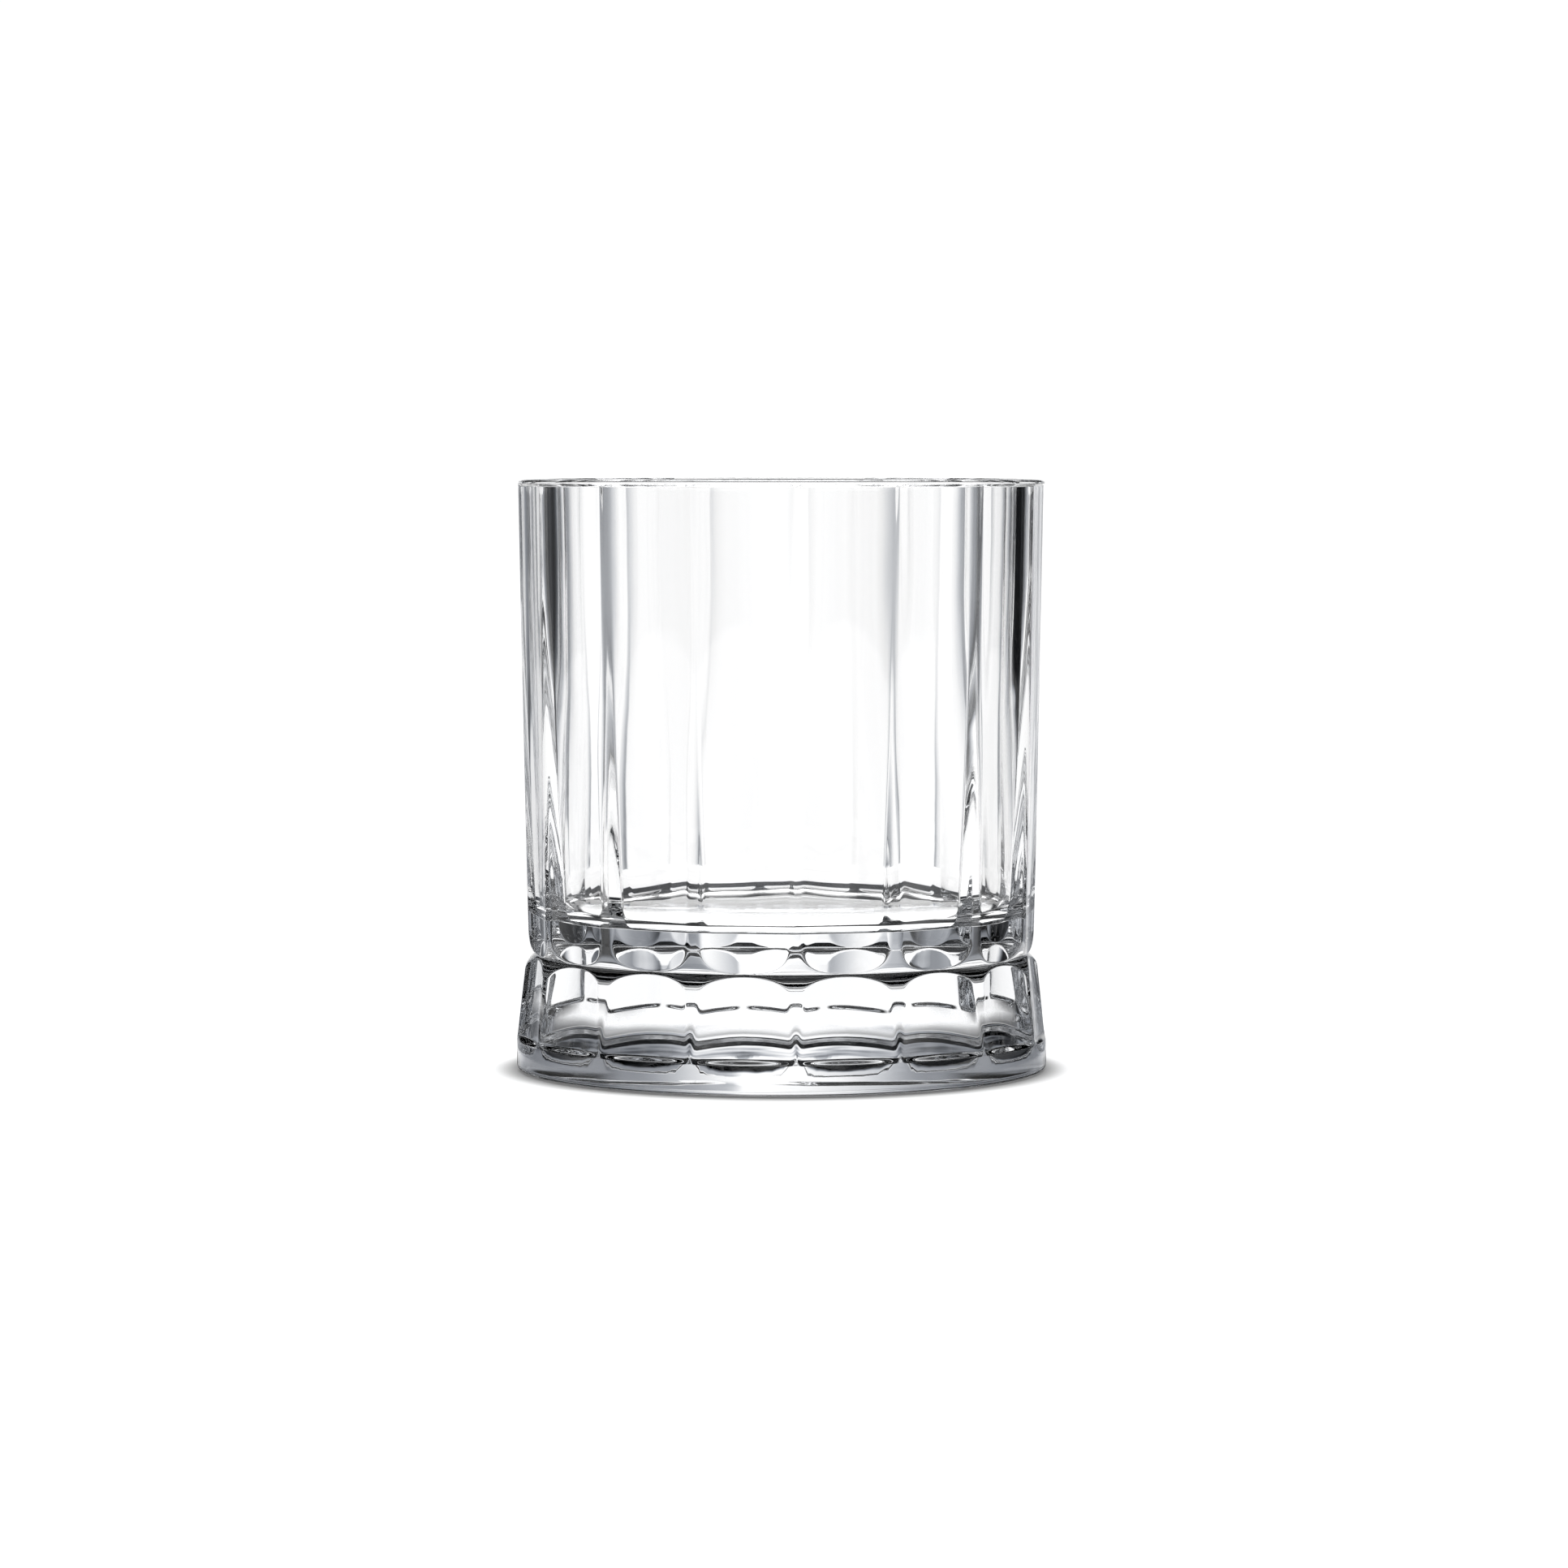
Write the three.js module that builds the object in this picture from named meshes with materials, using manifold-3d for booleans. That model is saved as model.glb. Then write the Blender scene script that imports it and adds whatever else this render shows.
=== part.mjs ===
// Faceted whiskey tumbler, pressed in one piece of clear glass. Millimetres, +Z up.
// The origin is the centre of the resting face. The outside is a round blank with a groove
// for its waist. Sixteen flats are cut into the wall above the waist and sixteen more into
// the flared foot below it, in line with the first, and each flat ends in an arc at the
// waist. A plain round lip and a plain round heel finish the top and the bottom.
import * as THREE from 'three'
import { mergeVertices } from 'three/addons/utils/BufferGeometryUtils.js'
import Module from 'manifold-3d'

// ---- driving dimensions ----
const HEIGHT = 94.2
const PANELS = 16
const ROUND_SEGMENTS = 64         // a whole number of segments per panel

// round blank, from the heel up
const HEEL_RADIUS = 42.45
const HEEL_ROUNDING = 1
const HEEL_TOP = 4.7
const SHOULDER_RADIUS = 41.12
const SHOULDER_Z = 16
const WAIST_RADIUS = 39.5
const WAIST_Z = 18.5
const WALL_FOOT_RADIUS = 40.55
const WALL_FOOT_Z = 22
const WALL_LOW_RADIUS = 40.83
const WALL_LOW_Z = 33.2
const LIP_RADIUS = 42.05
const LIP_HEIGHT = 1.15           // plain band between the lip's top and the flats' top ends
const LIP_ROUNDING = 0.7

// the two sides of the waist's groove bow out towards these points
const LOWER_BOW_RADIUS = 40.9
const LOWER_BOW_Z = 17.4
const UPPER_BOW_RADIUS = 40.42
const UPPER_BOW_Z = 19.2

// flats: distance from the axis to the middle of a flat, at the flat's two ends
const WALL_FLAT_TOP = 41.2
const WALL_FLAT_LOW = 39.95
const FOOT_FLAT_TOP = 40.1         // where the flat would meet the waist
const FOOT_FLAT_LOW = 41.3
const LEDGE_TOP = 5.6             // the foot's flats run down to here, a ledge joins the heel
const CUT_SLOPE = 0.5             // rise of the step that ends a wall flat below the lip
const CUT_REACH = 12              // how far the cutters run past the glass

// inside of the cup
const BORE_TOP_RADIUS = 38.4
const BORE_TOP_DROP = 0.9
const BORE_MID_Z = 58
const BORE_MID_RADIUS = 37.75
const BORE_LOW_Z = 29.5
const BORE_LOW_RADIUS = 35.6
const CORNER_RADIUS = 35.5        // the corner's curve is drawn towards this radius
const FLOOR_Z = 24.3
const FLOOR_FLAT_RADIUS = 31

// underside
const RING_OUTER_RADIUS = HEEL_RADIUS - HEEL_ROUNDING
const RING_INNER_RADIUS = 36
const HOLLOW_FLAT_RADIUS = 25
const HOLLOW_DEPTH = 0.3          // how far the middle of the underside stands off the table

const CURVE_STEPS = 5
const MERGE_TOLERANCE = 1e-5

// ---- outlines, as (radius, height) points ----
const point = (radius, height) => new THREE.Vector2(radius, height)

function bend(start, control, end) {
  return new THREE.QuadraticBezierCurve(start, control, end).getPoints(CURVE_STEPS)
}

function underside() {
  // from the middle of the hollow, over the bearing ring, to the heel's side
  const hollow = bend(
    point(0, HOLLOW_DEPTH), point(HOLLOW_FLAT_RADIUS, HOLLOW_DEPTH),
    point(RING_INNER_RADIUS, 0))
  const heel = bend(
    point(RING_OUTER_RADIUS, 0), point(HEEL_RADIUS, 0), point(HEEL_RADIUS, HEEL_ROUNDING))
  return [...hollow, ...heel, point(HEEL_RADIUS, HEEL_TOP)]
}

function waistGroove() {
  const waist = point(WAIST_RADIUS, WAIST_Z)
  const lower = bend(
    point(SHOULDER_RADIUS, SHOULDER_Z), point(LOWER_BOW_RADIUS, LOWER_BOW_Z), waist)
  const upper = bend(
    waist, point(UPPER_BOW_RADIUS, UPPER_BOW_Z), point(WALL_FOOT_RADIUS, WALL_FOOT_Z))
  return [...lower, ...upper.slice(1), point(WALL_LOW_RADIUS, WALL_LOW_Z)]
}

function lip() {
  // up the plain band and over the rim to the bore
  const middle = point((LIP_RADIUS + BORE_TOP_RADIUS) / 2, HEIGHT)
  const outer = bend(
    point(LIP_RADIUS, HEIGHT - LIP_ROUNDING), point(LIP_RADIUS, HEIGHT), middle)
  const inner = bend(
    middle, point(BORE_TOP_RADIUS, HEIGHT), point(BORE_TOP_RADIUS, HEIGHT - BORE_TOP_DROP))
  return [point(LIP_RADIUS, HEIGHT - LIP_HEIGHT), ...outer, ...inner.slice(1)]
}

function bore() {
  // from under the rim down to the middle of the cup's floor
  const low = point(BORE_LOW_RADIUS, BORE_LOW_Z)
  const wall = bend(
    point(BORE_TOP_RADIUS, HEIGHT - BORE_TOP_DROP), point(BORE_MID_RADIUS, BORE_MID_Z), low)
  const corner = bend(low, point(CORNER_RADIUS, FLOOR_Z), point(FLOOR_FLAT_RADIUS, FLOOR_Z))
  return [...wall.slice(1), ...corner.slice(1), point(0, FLOOR_Z)]
}

function cutOutline() {
  // what is taken off the round blank, in the plane through the middle of a flat; the step
  // between the two flats lies in the open groove and cuts nothing
  const reach = HEEL_RADIUS + CUT_REACH
  const flatTop = HEIGHT - LIP_HEIGHT
  return [
    point(reach, flatTop + CUT_SLOPE), point(WALL_FLAT_TOP, flatTop),
    point(WALL_FLAT_LOW, WAIST_Z), point(FOOT_FLAT_TOP, WAIST_Z),
    point(FOOT_FLAT_LOW, LEDGE_TOP), point(HEEL_RADIUS, HEEL_TOP), point(reach, HEEL_TOP),
  ]
}

// ---- solids ----
const wasm = await Module()
wasm.setup()

function toSolid(geometry) {
  const bare = geometry.clone()
  bare.deleteAttribute('normal')
  bare.deleteAttribute('uv')
  const merged = mergeVertices(bare, MERGE_TOLERANCE)
  return new wasm.Manifold(new wasm.Mesh({
    numProp: 3,
    vertProperties: new Float32Array(merged.attributes.position.array),
    triVerts: new Uint32Array(merged.index.array),
  }))
}

function toGeometry(solid) {
  const mesh = solid.getMesh()
  const geometry = new THREE.BufferGeometry()
  geometry.setAttribute('position', new THREE.BufferAttribute(mesh.vertProperties, 3))
  geometry.setIndex(new THREE.BufferAttribute(mesh.triVerts, 1))
  geometry.computeVertexNormals()
  return geometry
}

function blank() {
  // a lathe turns about Y, so the blank is stood up onto Z; one of its seams lies on -Y,
  // where a ridge between two flats runs
  const outline = [...underside(), ...waistGroove(), ...lip(), ...bore()]
  return new THREE.LatheGeometry(outline, ROUND_SEGMENTS).rotateX(Math.PI / 2)
}

function flatCutter(index) {
  const width = 2 * (HEEL_RADIUS + CUT_REACH) * Math.tan(Math.PI / PANELS)
  const cutter = new THREE.ExtrudeGeometry(
    new THREE.Shape(cutOutline()), { depth: width, bevelEnabled: false })
  cutter.translate(0, 0, -width / 2)
  cutter.rotateX(Math.PI / 2)
  return cutter.rotateZ(-Math.PI / 2 + (2 * Math.PI * (index + 0.5)) / PANELS)
}

function tumbler() {
  let glass = toSolid(blank())
  for (let index = 0; index < PANELS; index += 1) {
    glass = glass.subtract(toSolid(flatCutter(index)))
  }
  return toGeometry(glass)
}

const clearGlass = new THREE.MeshStandardMaterial({
  color: 0xf2f6f7, roughness: 0.02, metalness: 0, transparent: true, opacity: 0.35,
})

const object = new THREE.Group()
const glass = new THREE.Mesh(tumbler(), clearGlass)
glass.name = 'tumbler_glass'
object.add(glass)

export default object
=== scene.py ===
"""Looks for the whiskey tumbler: a fine glass mesh, its material, a pale floor and a studio.

Everything is in the part's own frame: +Z up, origin at the centre of the resting face. The
glass's dimensions are in millimetres, scaled by MM as its mesh is made. The floor, the lamp
and the camera are in metres, and the studio's directions are in degrees.
"""
import math

import bpy
import numpy as np
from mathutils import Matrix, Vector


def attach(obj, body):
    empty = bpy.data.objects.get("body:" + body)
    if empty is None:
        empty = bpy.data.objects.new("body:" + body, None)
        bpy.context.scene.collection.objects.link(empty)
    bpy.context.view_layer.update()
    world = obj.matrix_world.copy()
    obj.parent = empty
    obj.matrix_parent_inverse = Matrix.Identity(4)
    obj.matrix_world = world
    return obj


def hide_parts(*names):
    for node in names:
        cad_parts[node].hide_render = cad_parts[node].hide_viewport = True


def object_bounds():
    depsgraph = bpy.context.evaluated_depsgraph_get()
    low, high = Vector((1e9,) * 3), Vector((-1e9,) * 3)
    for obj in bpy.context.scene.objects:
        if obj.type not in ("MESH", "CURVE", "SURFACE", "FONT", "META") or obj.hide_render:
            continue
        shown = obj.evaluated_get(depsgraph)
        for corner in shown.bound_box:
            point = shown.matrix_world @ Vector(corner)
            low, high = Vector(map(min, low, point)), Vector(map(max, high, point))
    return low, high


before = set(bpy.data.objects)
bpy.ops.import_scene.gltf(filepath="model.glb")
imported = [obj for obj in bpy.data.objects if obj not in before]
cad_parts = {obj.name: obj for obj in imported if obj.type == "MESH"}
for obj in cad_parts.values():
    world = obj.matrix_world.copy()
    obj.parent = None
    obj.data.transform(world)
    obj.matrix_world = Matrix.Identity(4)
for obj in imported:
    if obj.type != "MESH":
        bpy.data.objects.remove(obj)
cad_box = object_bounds()

MM = 0.001

# ---- the glass, in millimetres ----
HEIGHT = round(cad_box[1][2] / MM, 3)
PANELS = 16
PANEL_DEGREES = 360 / PANELS
HALF_PANEL = math.pi / PANELS

# outside of the round blank, from the heel up; a pair is (height, radius)
HEEL_CLEARANCE = 0.03          # how far the heel stays inside the frame's own
HEEL_RADIUS = round(cad_box[1][0] / MM, 3) - HEEL_CLEARANCE
HEEL_ROUNDING = 1.0
HEEL_TOP = 4.7
HEEL_EDGE = (HEEL_TOP, HEEL_RADIUS)
SHOULDER = (16.0, 41.12)
LOWER_BOW = (17.4, 40.9)       # the waist's lower side bows out towards this point
WAIST = (18.5, 39.5)
UPPER_BOW = (19.2, 40.42)      # and its upper side towards this one
WALL_FOOT = (22.0, 40.55)
WALL_LOW = (33.2, 40.83)
LIP_RADIUS = 42.05
LIP_HEIGHT = 1.15              # plain band above the flats' top ends
LIP_STEP = 0.45                # height over which a flat runs out into that band
LIP_CURVE_START = 0.05         # the lip's rounding starts this far above the step
LIP_LEAN = 0.02
FLAT_TOP = HEIGHT - LIP_HEIGHT

# flats: distance from the axis to the middle of a flat, and how deep it is scooped there
WALL_FLAT_TOP = 41.2
WALL_FLAT_LOW = 40.15
WALL_SCOOP = 0.6
WALL_SCOOP_START = 60.0        # the wall's scoop grows from here down
WALL_SCOOP_REACH = 40.0        # and is full this far below
FOOT_FLAT_TOP = 40.8
FOOT_FLAT_LOW = 41.55
FOOT_SCOOP_TOP = 0.7
FOOT_SCOOP_LOW = 0.4
EDGE_SOFTNESS = 0.15

# ledge between the foot's flats and the heel, with a small peak under each ridge
LEDGE_TOP = 5.6
LEDGE_PEAK = 0.6
LEDGE_PEAK_DEGREES = 0.8

# inside of the cup
BORE_TOP = 38.4
BORE_TOP_DROP = 0.9
BORE_MID_Z = 58.0
BORE_MID = 37.75
BORE_LOW_Z = 29.5
BORE_LOW = 35.6
CORNER_PULL = 0.1
CUP_FLOOR_Z = 24.3
CUP_FLOOR_RADIUS = 31.0
FLUTE_TOP_Z = 80.0
FLUTE_LOW_Z = 27.0
FLUTE_DEPTH = 0.7

# underside
HOLLOW_DEPTH = 0.3
HOLLOW_RADIUS = 36.0
HOLLOW_FLAT_SHARE = 0.7
HUB_RADIUS = 2.0               # innermost ring of the mesh, below and in the cup

# ---- how finely the mesh is divided ----
RIDGE_COLUMNS = np.array([0, 0.35, 0.65, 0.85, 0.95])             # from ridge to flat's edge
FLAT_COLUMNS = np.array([0, 0.015, 0.04, 0.09, 0.2, 0.4, 0.7])    # from there to its middle
RIDGE_LEAST = 0.3              # least and most degrees from a ridge to a flat's edge
RIDGE_MOST = 11.1
PLAIN_EDGE = 1.5               # the same, where there is no flat
EDGE_SEARCH_STEPS = 400
LEDGE_FINE_HEIGHT = 2.0        # rows are close together this far above the heel
LEDGE_COARSE_START = 2.5
LEDGE_ROWS = 17
FOOT_ROWS = 12
GROOVE_STEPS = 26
WALL_FOOT_ROWS = 7
WALL_ROWS = 22
WALL_ROWS_DROP = 0.3           # the wall's last row and the band's first lie this far below
BAND_ROWS_DROP = 0.2           # the flats' top ends
BAND_ROWS = 8
HOLLOW_STEPS = 14
RING_ROWS = 5
HEEL_STEPS = 8
LIP_STEPS = 10
BORE_STEPS = 24
CORNER_STEPS = 18
CUP_FLOOR_ROWS = 8

# ---- glass material ----
GLASS_IOR = 1.52
RIPPLE_SCALE = 90.0
RIPPLE_DETAIL = 1.0
RIPPLE_HEIGHT = 0.00004
POLISH_SCALE = 60.0
POLISH_DETAIL = 2.0
POLISH_LOW = 0.4
POLISH_HIGH = 0.7
ROUGH_MAX = 0.008
GLASS_TINT = (0.8, 0.88, 1.0, 1)
TINT_DENSITY = 1.2
SHADOW_TONE = (0.75, 0.75, 0.75, 1)
WHITE = (1, 1, 1, 1)

# ---- floor: tones by distance from the axis, in metres ----
TABLE_RADIUS = 0.1
TABLE_SIDES = 96
TABLE_DROP = 0.0002
TABLE_TONE = 0.82
NEAR_SHADE_TONE = 0.4                # painted shade of the glass on the floor round the foot, which only rays bent by the glass see
NEAR_START = 0.050
NEAR_END = 0.060
CONTACT_SHADE_TONE = 0.12            # painted contact shadow, darker still close round the heel, also seen only through the glass
CONTACT_START = 0.0445
CONTACT_END = 0.052
CAST_TONE = 0.3                # contact shadow that the camera sees round the heel
CAST_START = 0.0415
CAST_END = 0.0475
UNDER_GLOW = 2.0               # a glow that stands in for the light caught under the foot
UNDER_GLOW_START = 0.033
UNDER_GLOW_END = 0.038

# ---- studio: bright panels on four sides, dark gaps between, in degrees ----
PANEL_HALF_WIDTH = 4.5
PANEL_EDGE = 19.0
PANEL_TURN = 45.0              # a panel's middle to the middle of the gap
PANEL_FADE_LOW = 7.4
PANEL_FADE_HIGH = 8.8
GAP_LIGHT = 0.0
HIGH_GAP_LIGHT = 0.25
GAP_RISE = 4.0
SIDE_GREY = 0.3
SIDE_GREY_START = 24.0
SIDE_GREY_END = 34.0
HIGH_TONE = 0.2
CEILING_LOW = 8.2
CEILING_HIGH = 9.5
TOP_LIGHT = 0.6
TOP_LIGHT_LOW = 58.0
TOP_LIGHT_HIGH = 66.0
BELOW_LOW = -8.8               # under this the light from below is bright all round
BELOW_HIGH = -7.8
DARK_LIGHT = 0.03              # except in a dark band, fully dark between its two middle values
DARK_TOP = -29.0
DARK_TOP_FULL = -31.0
DARK_LOW_FULL = -42.0
DARK_LOW = -46.0
STUDIO_LIGHT = 1.1
COOL_GREY = (0.78, 0.84, 0.95, 1)
LAMP_HEIGHT = 1.2
LAMP_SIZE = 2.0
LAMP_POWER = 38.0

# ---- camera ----
VIEW_SIDE = math.radians(-3.06)
DISTANCE = 0.8667
CAMERA_HEIGHT = 0.0979
PITCH = 0.0605
AIM_SIDE = 0.00039
LENS = 124.54
SENSOR_WIDTH = 36

# ---- how often light is followed through the glass ----
LIGHT_BOUNCES = 32
GLOSSY_BOUNCES = 16


# ---- small helpers ----
def curve(start, control, end, steps):
    """Points of a quadratic Bezier from start to end, both included."""
    t = np.linspace(0, 1, steps + 1)[:, None]
    a, b, c = (np.array(p, float) for p in (start, control, end))
    return (1 - t) ** 2 * a + 2 * t * (1 - t) * b + t ** 2 * c


def straight(start, end, heights):
    """Rows (height, radius) at the given heights, on the line through two such pairs."""
    low, first = start
    high, last = end
    return [(z, first + (last - first) * (z - low) / (high - low)) for z in heights]


def smooth(x):
    x = np.clip(x, 0, 1)
    return x * x * (3 - 2 * x)


def soft_min(a, b, softness):
    """The smaller of two values, with the crossing rounded off."""
    mix = np.clip(0.5 + 0.5 * (b - a) / softness, 0, 1)
    return b + (a - b) * mix - softness * mix * (1 - mix)


# ---- glass mesh ----
def columns(edge):
    """Angles round the glass, crowded where the flats begin, and how far each is from a ridge.

    edge is the angle from a ridge to the edge of its flats, in degrees.
    """
    middle = PANEL_DEGREES / 2
    half = np.concatenate([edge * RIDGE_COLUMNS, edge + (middle - edge) * FLAT_COLUMNS])
    panel = np.concatenate([half, [middle], PANEL_DEGREES - half[:0:-1]])
    every = np.radians(np.concatenate([panel + PANEL_DEGREES * k for k in range(PANELS)]))
    offset = np.abs((every + HALF_PANEL) % (2 * HALF_PANEL) - HALF_PANEL)
    return every, offset


def blank_rows():
    """The round blank's outside from the heel's top to the lip, as (height, radius) rows."""
    close = np.linspace(HEEL_TOP, HEEL_TOP + LEDGE_FINE_HEIGHT, LEDGE_ROWS)
    foot = np.linspace(HEEL_TOP + LEDGE_COARSE_START, SHOULDER[0], FOOT_ROWS)
    rows = straight(HEEL_EDGE, SHOULDER, np.concatenate([close, foot]))
    rows += list(curve(SHOULDER, LOWER_BOW, WAIST, GROOVE_STEPS)[1:])
    rows += list(curve(WAIST, UPPER_BOW, WALL_FOOT, GROOVE_STEPS)[1:])
    low = np.linspace(WALL_FOOT[0], WALL_LOW[0], WALL_FOOT_ROWS)
    rows += straight(WALL_FOOT, WALL_LOW, low[1:])
    wall = np.linspace(WALL_LOW[0], FLAT_TOP - WALL_ROWS_DROP, WALL_ROWS)
    rows += straight(WALL_LOW, (FLAT_TOP, LIP_RADIUS), wall[1:])
    band = np.linspace(FLAT_TOP - BAND_ROWS_DROP, FLAT_TOP + LIP_STEP, BAND_ROWS)
    rows += [(z, LIP_RADIUS) for z in band]
    return rows


def flat_distance(z):
    """Distance from the axis to the middle of a flat's plane, at height z."""
    if z > WAIST[0]:
        rise = (z - WALL_FOOT[0]) / (HEIGHT - WALL_FOOT[0])
        return WALL_FLAT_LOW + (WALL_FLAT_TOP - WALL_FLAT_LOW) * rise
    rise = (z - LEDGE_TOP) / (SHOULDER[0] - LEDGE_TOP)
    return FOOT_FLAT_LOW + (FOOT_FLAT_TOP - FOOT_FLAT_LOW) * rise


def scoop_depth(z):
    """How far the middle of a flat is scooped behind its plane, at height z."""
    if z > WAIST[0]:
        return WALL_SCOOP * smooth((WALL_SCOOP_START - z) / WALL_SCOOP_REACH)
    rise = (z - LEDGE_TOP) / (SHOULDER[0] - LEDGE_TOP)
    return FOOT_SCOOP_LOW + (FOOT_SCOOP_TOP - FOOT_SCOOP_LOW) * rise


def flat_radius(offset, z):
    """Distance from the axis to a flat, at an angle from the nearest ridge."""
    across = np.tan(HALF_PANEL - offset) / math.tan(HALF_PANEL)
    scoop = scoop_depth(z) * (1 - across ** 2)
    return flat_distance(z) / np.cos(HALF_PANEL - offset) - scoop


def flat_edge(z, radius):
    """Angle from a ridge to the edge of its flats, in degrees."""
    search = np.linspace(0, HALF_PANEL, EDGE_SEARCH_STEPS)
    cut = flat_radius(search, z) < radius
    edge = math.degrees(search[np.argmax(cut)]) if cut.any() else RIDGE_MOST
    return min(max(edge, RIDGE_LEAST), RIDGE_MOST)


def outer_ring(z, radius):
    """One row of the outside: the round blank with the flats cut into it."""
    angles, offset = columns(flat_edge(z, radius))
    cut = soft_min(radius, flat_radius(offset, z), EDGE_SOFTNESS)
    peak = LEDGE_PEAK * np.exp(-(np.degrees(offset) / LEDGE_PEAK_DEGREES) ** 2)
    share = smooth((z - HEEL_TOP - peak) / (LEDGE_TOP - HEEL_TOP))
    share = share * (1 - smooth((z - FLAT_TOP) / LIP_STEP))
    return angles, radius + share * (cut - radius), z


def plain_ring(radius, z):
    angles = columns(PLAIN_EDGE)[0]
    return angles, radius, z


def fluted_ring(radius, z):
    """One row of the cup: each panel is a shallow flute that fades out towards the lip."""
    angles, offset = columns(PLAIN_EDGE)
    fade = smooth((FLUTE_TOP_Z - z) / (FLUTE_TOP_Z - FLUTE_LOW_Z))
    ridge = 1 / math.cos(HALF_PANEL)
    shape = (ridge - 1 / np.cos(HALF_PANEL - offset)) / (ridge - 1)
    return angles, radius - FLUTE_DEPTH * fade * radius / BORE_LOW * shape, z


def underside_rings():
    ring_outer = HEEL_RADIUS - HEEL_ROUNDING
    hollow = curve(
        (HUB_RADIUS, HOLLOW_DEPTH), (HOLLOW_RADIUS * HOLLOW_FLAT_SHARE, HOLLOW_DEPTH),
        (HOLLOW_RADIUS, 0), HOLLOW_STEPS)
    bearing = [(r, 0) for r in np.linspace(HOLLOW_RADIUS, ring_outer, RING_ROWS)[1:-1]]
    heel = curve((ring_outer, 0), (HEEL_RADIUS, 0), (HEEL_RADIUS, HEEL_ROUNDING), HEEL_STEPS)
    side = (HEEL_RADIUS, (HEEL_ROUNDING + HEEL_TOP) / 2)
    return [plain_ring(r, z) for r, z in [*hollow, *bearing, *heel, side]]


def lip_rings():
    middle = ((LIP_RADIUS + BORE_TOP) / 2, HEIGHT)
    start = (LIP_RADIUS, FLAT_TOP + LIP_STEP + LIP_CURVE_START)
    outer = curve(start, (LIP_RADIUS - LIP_LEAN, HEIGHT), middle, LIP_STEPS)
    inner = curve(middle, (BORE_TOP, HEIGHT), (BORE_TOP, HEIGHT - BORE_TOP_DROP), LIP_STEPS)
    return [plain_ring(r, z) for r, z in [*outer, *inner[1:]]]


def cup_rings():
    top = (BORE_TOP, HEIGHT - BORE_TOP_DROP)
    low = (BORE_LOW, BORE_LOW_Z)
    wall = curve(top, (BORE_MID, BORE_MID_Z), low, BORE_STEPS)
    corner = curve(
        low, (BORE_LOW - CORNER_PULL, CUP_FLOOR_Z), (CUP_FLOOR_RADIUS, CUP_FLOOR_Z),
        CORNER_STEPS)
    floor = [(r, CUP_FLOOR_Z) for r in np.linspace(CUP_FLOOR_RADIUS, HUB_RADIUS, CUP_FLOOR_ROWS)]
    return [fluted_ring(r, z) for r, z in [*wall[1:], *corner[1:], *floor[1:]]]


def glass_rings():
    """Every row of points, from the underside, up the outside and down into the cup."""
    outside = [outer_ring(z, radius) for z, radius in blank_rows()]
    return [*underside_rings(), *outside, *lip_rings(), *cup_rings()]


def build_glass():
    rings = glass_rings()
    count = len(rings[0][0])
    points = [(0.0, 0.0, HOLLOW_DEPTH * MM)]
    for angles, radius, z in rings:
        x = radius * np.sin(angles) * MM
        y = -radius * np.cos(angles) * MM
        points += [(a, b, z * MM) for a, b in zip(x, y)]
    points.append((0.0, 0.0, CUP_FLOOR_Z * MM))
    last = len(points) - 1
    top = last - count
    faces = []
    for k in range(count):
        following = (k + 1) % count
        faces.append((0, 1 + following, 1 + k))
        for row in range(len(rings) - 1):
            a = 1 + row * count
            b = a + count
            faces.append((a + k, a + following, b + following, b + k))
        faces.append((top + k, top + following, last))
    mesh = bpy.data.meshes.new("fine_glass")
    mesh.from_pydata(points, [], faces)
    mesh.validate()
    mesh.update()
    mesh.shade_smooth()
    piece = bpy.data.objects.new("fine_glass", mesh)
    bpy.context.scene.collection.objects.link(piece)
    return piece


# ---- node helpers ----
def put(tree, socket, value):
    """Gives a socket a value, or links another node's output to it."""
    if hasattr(value, "is_output"):
        tree.links.new(value, socket)
    else:
        socket.default_value = value


def add_node(tree, kind, **inputs):
    """A new node; a keyword is the name of an input, with _ for a space."""
    node = tree.nodes.new(kind)
    for name, value in inputs.items():
        put(tree, node.inputs[name.replace("_", " ")], value)
    return node


def calc(tree, operation, *values):
    node = tree.nodes.new("ShaderNodeMath")
    node.operation = operation
    for socket, value in zip(node.inputs, values):
        put(tree, socket, value)
    return node.outputs[0]


def ramp(tree, value, low, high, start=0.0, end=1.0):
    """Smooth step of a value, from start at low to end at high."""
    node = tree.nodes.new("ShaderNodeMapRange")
    node.interpolation_type = "SMOOTHSTEP"
    put(tree, node.inputs["Value"], value)
    put(tree, node.inputs["From Min"], low)
    put(tree, node.inputs["From Max"], high)
    put(tree, node.inputs["To Min"], start)
    put(tree, node.inputs["To Max"], end)
    return node.outputs["Result"]


def colour_sockets(sockets):
    return [socket for socket in sockets if socket.type == "RGBA"]


def light_path(tree, kind):
    return tree.nodes.new("ShaderNodeLightPath").outputs[kind]


def mix_shaders(tree, share, first, second):
    """Sets the material's surface to first, or second where share is 1."""
    blend = tree.nodes.new("ShaderNodeMixShader")
    put(tree, blend.inputs["Fac"], share)
    put(tree, blend.inputs[1], first.outputs[0])
    put(tree, blend.inputs[2], second.outputs[0])
    put(tree, tree.nodes["Material Output"].inputs["Surface"], blend.outputs[0])


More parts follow.
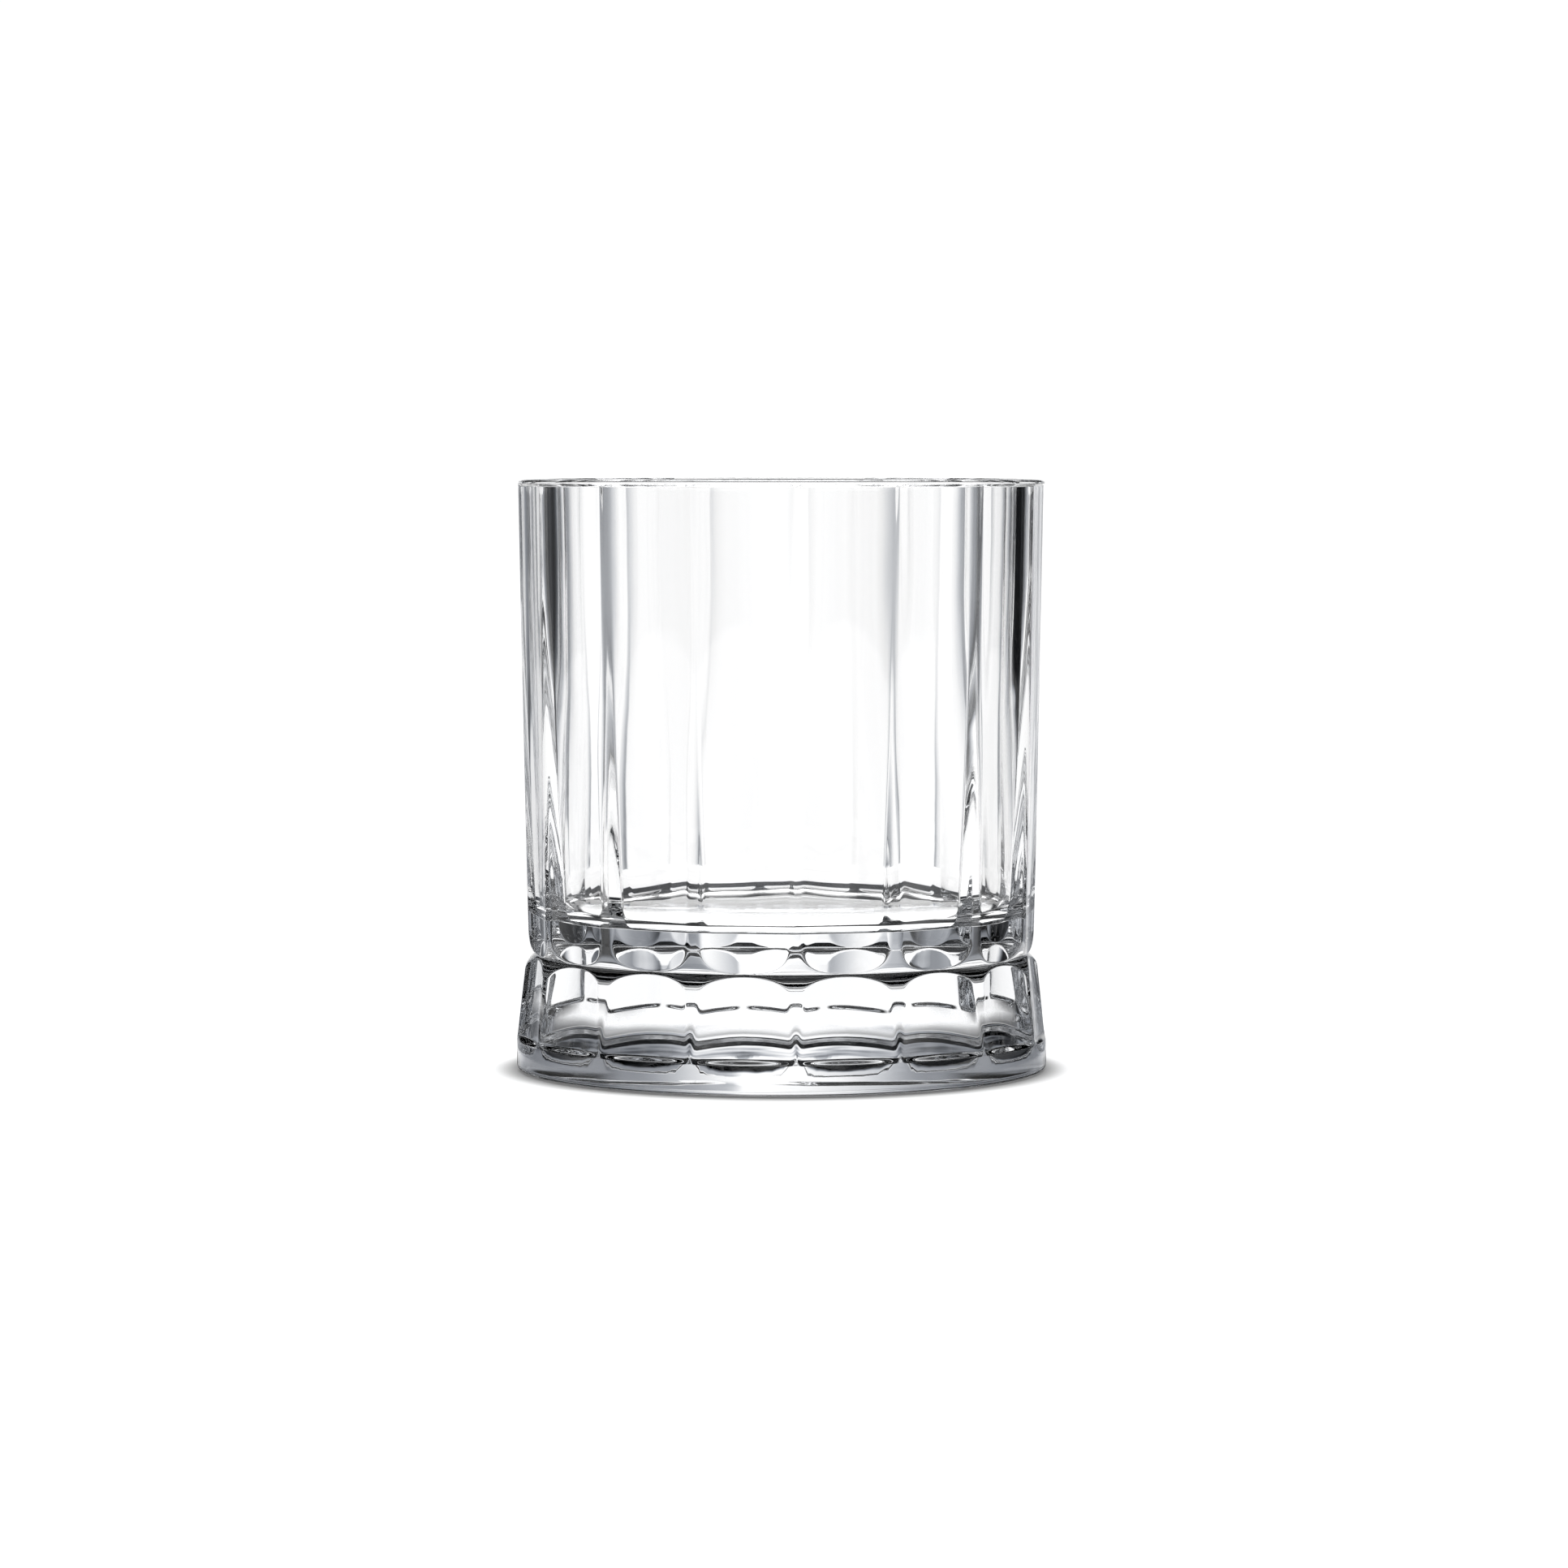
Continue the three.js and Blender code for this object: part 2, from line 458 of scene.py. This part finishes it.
# ---- materials ----
def glass_material():
    """Clear pressed glass: faint ripples from the mould, a cool tint in thick places."""
    material = bpy.data.materials.new("clear_glass")
    material.use_nodes = True
    tree = material.node_tree
    shader = tree.nodes["Principled BSDF"]
    shader.inputs["Base Color"].default_value = WHITE
    shader.inputs["IOR"].default_value = GLASS_IOR
    shader.inputs["Transmission Weight"].default_value = 1.0

    place = tree.nodes.new("ShaderNodeTexCoord").outputs["Object"]
    ripple = add_node(
        tree, "ShaderNodeTexNoise", Vector=place, Scale=RIPPLE_SCALE, Detail=RIPPLE_DETAIL)
    polish = add_node(
        tree, "ShaderNodeTexNoise", Vector=place, Scale=POLISH_SCALE, Detail=POLISH_DETAIL)
    bump = add_node(
        tree, "ShaderNodeBump", Height=ripple.outputs["Fac"], Distance=RIPPLE_HEIGHT)
    rough = ramp(tree, polish.outputs["Fac"], POLISH_LOW, POLISH_HIGH, 0.0, ROUGH_MAX)
    put(tree, shader.inputs["Normal"], bump.outputs["Normal"])
    put(tree, shader.inputs["Roughness"], rough)

    tint = add_node(
        tree, "ShaderNodeVolumeAbsorption", Color=GLASS_TINT, Density=TINT_DENSITY)
    put(tree, tree.nodes["Material Output"].inputs["Volume"], tint.outputs["Volume"])

    # light meant for the floor passes straight through, dimmed, and leaves a pale shadow
    clear = add_node(tree, "ShaderNodeBsdfTransparent", Color=SHADOW_TONE)
    mix_shaders(tree, light_path(tree, "Is Shadow Ray"), shader, clear)
    return material


def floor_material():
    """Pale matt floor with a contact shadow drawn round the heel.

    Rays bent by the glass see painted shade: a darker ring round the foot, darker still close
    round the heel, and a painted glow under it that stands in for light.
    """
    material = bpy.data.materials.new("pale_floor")
    material.use_nodes = True
    tree = material.node_tree
    shader = tree.nodes["Principled BSDF"]
    shader.inputs["Roughness"].default_value = 1.0
    shader.inputs["Specular IOR Level"].default_value = 0.0
    shader.inputs["Emission Color"].default_value = WHITE
    camera_ray = light_path(tree, "Is Camera Ray")
    bent_ray = calc(tree, "SUBTRACT", 1.0, camera_ray)
    place = tree.nodes.new("ShaderNodeTexCoord").outputs["Object"]
    length = tree.nodes.new("ShaderNodeVectorMath")
    length.operation = "LENGTH"
    put(tree, length.inputs[0], place)
    away = length.outputs["Value"]

    # painted shade for rays bent by the glass: a darker ring round the foot and a darker contact
    # ring round the heel; the camera sees a painted contact shadow
    near = ramp(tree, away, NEAR_START, NEAR_END, NEAR_SHADE_TONE, 1.0)
    contact = ramp(tree, away, CONTACT_START, CONTACT_END, CONTACT_SHADE_TONE, 1.0)
    cast = ramp(tree, away, CAST_START, CAST_END, CAST_TONE, 1.0)
    through_glass = calc(tree, "MULTIPLY", calc(tree, "MULTIPLY", near, contact), bent_ray)
    direct = calc(tree, "MULTIPLY", camera_ray, cast)
    tone = calc(tree, "MULTIPLY", calc(tree, "ADD", through_glass, direct), TABLE_TONE)
    glow = ramp(tree, away, UNDER_GLOW_START, UNDER_GLOW_END, UNDER_GLOW, 0.0)
    put(tree, shader.inputs["Base Color"], tone)
    put(tree, shader.inputs["Emission Strength"], glow)

    # rays bent by the glass pass the outer floor and meet the studio's light below it
    open_floor = tree.nodes.new("ShaderNodeBsdfTransparent")
    outer = calc(tree, "MULTIPLY", bent_ray, ramp(tree, away, NEAR_START, NEAR_END))
    mix_shaders(tree, outer, shader, open_floor)
    return material


# ---- studio ----
def panel_light(tree, side, rise):
    """Light of the panels, their gaps and the grey above them, by direction."""
    gap = ramp(tree, rise, 0.0, GAP_RISE, GAP_LIGHT, HIGH_GAP_LIGHT)
    grey = ramp(tree, side, SIDE_GREY_START, SIDE_GREY_END, SIDE_GREY, 0.0)
    gap = calc(tree, "MAXIMUM", gap, grey)
    panel = ramp(tree, side, PANEL_HALF_WIDTH, PANEL_HALF_WIDTH + PANEL_EDGE, 1.0, gap)
    wall = ramp(tree, rise, CEILING_LOW, CEILING_HIGH, HIGH_TONE, 0.0)
    high = ramp(tree, rise, PANEL_FADE_LOW, PANEL_FADE_HIGH)
    low_part = calc(tree, "MULTIPLY", panel, calc(tree, "SUBTRACT", 1.0, high))
    return calc(tree, "ADD", low_part, calc(tree, "MULTIPLY", wall, high))


def light_from_below(tree, light, rise):
    """Adds the bright light from below, and cuts the dark band out of all the light."""
    below = ramp(tree, rise, BELOW_LOW, BELOW_HIGH, 1.0, 0.0)
    steep = ramp(tree, rise, DARK_LOW, DARK_LOW_FULL, 1.0, DARK_LIGHT)
    shallow = ramp(tree, rise, DARK_TOP_FULL, DARK_TOP, DARK_LIGHT, 1.0)
    light = calc(tree, "MAXIMUM", light, below)
    return calc(tree, "MULTIPLY", light, calc(tree, "MAXIMUM", steep, shallow))


def studio_world():
    """A white backdrop for the camera, and the panels and gaps that only the glass shows."""
    world = bpy.data.worlds.new("studio")
    world.use_nodes = True
    tree = world.node_tree
    where = tree.nodes.new("ShaderNodeTexCoord").outputs["Generated"]
    x, y, z = add_node(tree, "ShaderNodeSeparateXYZ", Vector=where).outputs
    turn = calc(tree, "MULTIPLY", calc(tree, "ARCTAN2", x, y), math.degrees(1))
    turn = calc(tree, "ADD", turn, math.degrees(VIEW_SIDE))
    side = calc(tree, "ABSOLUTE", calc(tree, "WRAP", turn, PANEL_TURN, -PANEL_TURN))
    rise = calc(tree, "MULTIPLY", calc(tree, "ARCSINE", z), math.degrees(1))
    top_light = ramp(tree, rise, TOP_LIGHT_LOW, TOP_LIGHT_HIGH, 0.0, TOP_LIGHT)
    light = calc(tree, "MAXIMUM", panel_light(tree, side, rise), top_light)
    light = light_from_below(tree, light, rise)
    light = calc(tree, "MULTIPLY", light, STUDIO_LIGHT)
    light = calc(tree, "MAXIMUM", light, light_path(tree, "Is Camera Ray"))
    tint = tree.nodes.new("ShaderNodeMix")
    tint.data_type = "RGBA"
    dim, bright = colour_sockets(tint.inputs)
    put(tree, tint.inputs["Factor"], light)
    put(tree, dim, COOL_GREY)
    put(tree, bright, WHITE)
    background = tree.nodes["Background"]
    put(tree, background.inputs["Color"], colour_sockets(tint.outputs)[0])
    put(tree, background.inputs["Strength"], light)
    return world


def overhead_light():
    data = bpy.data.lights.new("overhead", "AREA")
    data.shape = "DISK"
    data.size = LAMP_SIZE
    data.energy = LAMP_POWER
    lamp = bpy.data.objects.new("overhead", data)
    lamp.location.z = LAMP_HEIGHT
    lamp.visible_camera = False
    lamp.visible_glossy = False
    lamp.visible_transmission = False
    bpy.context.scene.collection.objects.link(lamp)


def build_floor():
    mesh = bpy.data.meshes.new("floor")
    turns = [2 * math.pi * k / TABLE_SIDES for k in range(TABLE_SIDES)]
    rim = [(TABLE_RADIUS * math.cos(t), TABLE_RADIUS * math.sin(t), 0) for t in turns]
    mesh.from_pydata(rim, [], [range(TABLE_SIDES)])
    mesh.materials.append(floor_material())
    floor = bpy.data.objects.new("floor", mesh)
    floor.location.z = -TABLE_DROP
    bpy.context.scene.collection.objects.link(floor)
    return floor


def place_camera():
    camera = bpy.data.objects.new("camera", bpy.data.cameras.new("camera"))
    camera.data.lens = LENS
    camera.data.sensor_width = SENSOR_WIDTH
    camera.location.x = DISTANCE * math.sin(VIEW_SIDE) + AIM_SIDE
    camera.location.y = -DISTANCE * math.cos(VIEW_SIDE)
    camera.location.z = CAMERA_HEIGHT
    camera.rotation_euler = (math.pi / 2 - PITCH, 0, VIEW_SIDE)
    bpy.context.scene.collection.objects.link(camera)
    bpy.context.scene.camera = camera


glass = build_glass()
glass.data.materials.append(glass_material())
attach(glass, "root")
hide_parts("tumbler_glass")

floor = build_floor()
overhead_light()
bpy.context.scene.world = studio_world()
place_camera()

bpy.context.scene.view_settings.view_transform = "Standard"
bpy.context.scene.cycles.max_bounces = LIGHT_BOUNCES
bpy.context.scene.cycles.transmission_bounces = LIGHT_BOUNCES
bpy.context.scene.cycles.glossy_bounces = GLOSSY_BOUNCES
